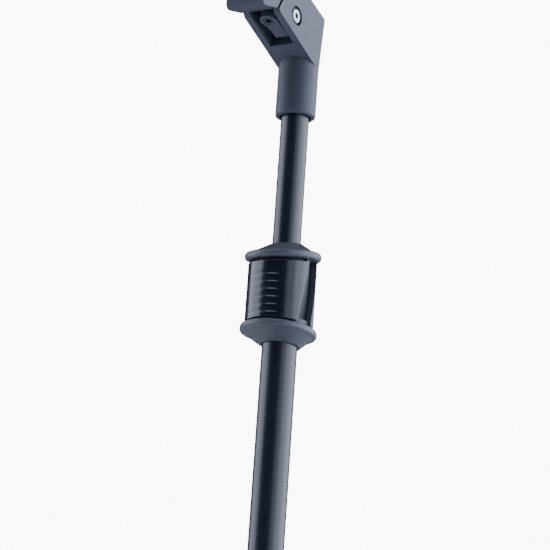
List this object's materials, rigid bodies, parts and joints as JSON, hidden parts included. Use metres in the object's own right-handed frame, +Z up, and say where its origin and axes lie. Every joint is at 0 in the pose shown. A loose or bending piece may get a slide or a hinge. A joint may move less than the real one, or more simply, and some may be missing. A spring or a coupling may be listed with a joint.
{
  "type": "music stand",
  "caption": "Height-adjustable music stand with a tilting desk, a squeeze grip on its telescopic column and a folding tripod base.",
  "frame": {"origin": "on the floor under the column's axis", "axes": "+Z up along the column, -Y towards the player, +X to the player's left as the player faces the desk"},
  "size_m": [0.48, 0.3928, 1.1078],
  "materials": {
    "tube_black": "semi-gloss",
    "cast_grey": "satin",
    "grip_grey": "matte",
    "lever_black": "gloss",
    "desk_black": "satin",
    "bright_steel": "brushed",
    "black_steel": "oxide",
    "rubber_black": "matte",
    "bush_black": "matte"
  },
  "bodies": {
    "base": {"lower_tube": "tube_black", "column_plug": "bush_black", "guide_bush": "bush_black", "grip_housing": "grip_grey", "upper_cap": "grip_grey", "lower_cap": "grip_grey", "lever_pin": "bright_steel", "column_hub": "cast_grey", "plate_spring": "bright_steel"},
    "upper_column": {"upper_tube": "tube_black", "slide_plug": "bush_black"},
    "head": {"tilt_head": "cast_grey", "pivot_bolt": "bright_steel", "pivot_nut": "bright_steel", "friction_washers": "bush_black"},
    "desk": {"desk_bracket": "cast_grey", "desk_panel": "desk_black", "desk_shelf": "desk_black", "desk_screws": "black_steel", "desk_nuts": "black_steel", "shelf_rivets": "black_steel", "tension_screw": "cast_grey"},
    "lever": {"grip_lever": "lever_black"},
    "plates": {"locking_plates": "bright_steel"},
    "collar": {"leg_collar": "cast_grey"},
    "knob": {"collar_knob": "grip_grey"},
    "leg_1": {"leg_1": "tube_black", "leg_rivets_1": "bright_steel", "foot_1": "rubber_black"},
    "strut_1": {"strut_1": "black_steel", "strut_rivet_1": "bright_steel"},
    "leg_2": {"leg_2": "tube_black", "leg_rivets_2": "bright_steel", "foot_2": "rubber_black"},
    "strut_2": {"strut_2": "black_steel", "strut_rivet_2": "bright_steel"},
    "leg_3": {"leg_3": "tube_black", "leg_rivets_3": "bright_steel", "foot_3": "rubber_black"},
    "strut_3": {"strut_3": "black_steel", "strut_rivet_3": "bright_steel"}
  },
  "joints": [
    {"name": "height_slide", "type": "slide", "parent": "base", "child": "upper_column", "axis": [0, 0, 1], "range_m": [-0.072, 0.32]},
    {"name": "head_turn", "type": "hinge", "parent": "upper_column", "child": "head", "pos_m": [0, 0, 0.67765], "axis": [0, 0, 1], "range_deg": [-180, 180]},
    {"name": "desk_tilt", "type": "hinge", "parent": "head", "child": "desk", "pos_m": [0, -0.0333, 0.74205], "axis": [-1, 0, 0], "range_deg": [0, 75]},
    {"name": "lever_squeeze", "type": "hinge", "parent": "base", "child": "lever", "pos_m": [0, -0.0189, 0.5271], "axis": [-1, 0, 0], "range_deg": [0, 3], "stiffness_Nm_per_rad": 2, "springref_deg": -11.46},
    {"name": "plates_release", "type": "hinge", "parent": "base", "child": "plates", "pos_m": [0, 0.01509, 0.54945], "axis": [-1, 0, 0], "range_deg": [0, 7]},
    {"name": "collar_slide", "type": "slide", "parent": "base", "child": "collar", "axis": [0, 0, 1], "range_m": [0, 0.05151]},
    {"name": "knob_turn", "type": "hinge", "parent": "collar", "child": "knob", "pos_m": [0, -0.0128, 0.20373], "axis": [0, -1, 0], "range_deg": [0, 360]},
    {"name": "leg_1_fold", "type": "hinge", "parent": "collar", "child": "leg_1", "pos_m": [0, 0.027, 0.19173], "axis": [-1, 0, 0], "range_deg": [0, 45.2]},
    {"name": "strut_1_fold", "type": "hinge", "parent": "leg_1", "child": "strut_1", "pos_m": [0, 0.08155, 0.14787], "axis": [1, 0, 0], "range_deg": [0, 90.4]},
    {"name": "leg_2_fold", "type": "hinge", "parent": "collar", "child": "leg_2", "pos_m": [-0.02338, -0.0135, 0.19173], "axis": [0.5, -0.866, 0], "range_deg": [0, 45.2]},
    {"name": "strut_2_fold", "type": "hinge", "parent": "leg_2", "child": "strut_2", "pos_m": [-0.07063, -0.04078, 0.14787], "axis": [-0.5, 0.866, 0], "range_deg": [0, 90.4]},
    {"name": "leg_3_fold", "type": "hinge", "parent": "collar", "child": "leg_3", "pos_m": [0.02338, -0.0135, 0.19173], "axis": [0.5, 0.866, 0], "range_deg": [0, 45.2]},
    {"name": "strut_3_fold", "type": "hinge", "parent": "leg_3", "child": "strut_3", "pos_m": [0.07063, -0.04078, 0.14787], "axis": [-0.5, -0.866, 0], "range_deg": [0, 90.4]}
  ],
  "couplings": [
    {"joint": "plates_release", "follows": "lever_squeeze", "ratio": 2.3333},
    {"joint": "leg_1_fold", "follows": "collar_slide", "rad_per_m": 15.309},
    {"joint": "strut_1_fold", "follows": "collar_slide", "rad_per_m": 30.618},
    {"joint": "leg_2_fold", "follows": "collar_slide", "rad_per_m": 15.309},
    {"joint": "strut_2_fold", "follows": "collar_slide", "rad_per_m": 30.618},
    {"joint": "leg_3_fold", "follows": "collar_slide", "rad_per_m": 15.309},
    {"joint": "strut_3_fold", "follows": "collar_slide", "rad_per_m": 30.618}
  ]
}
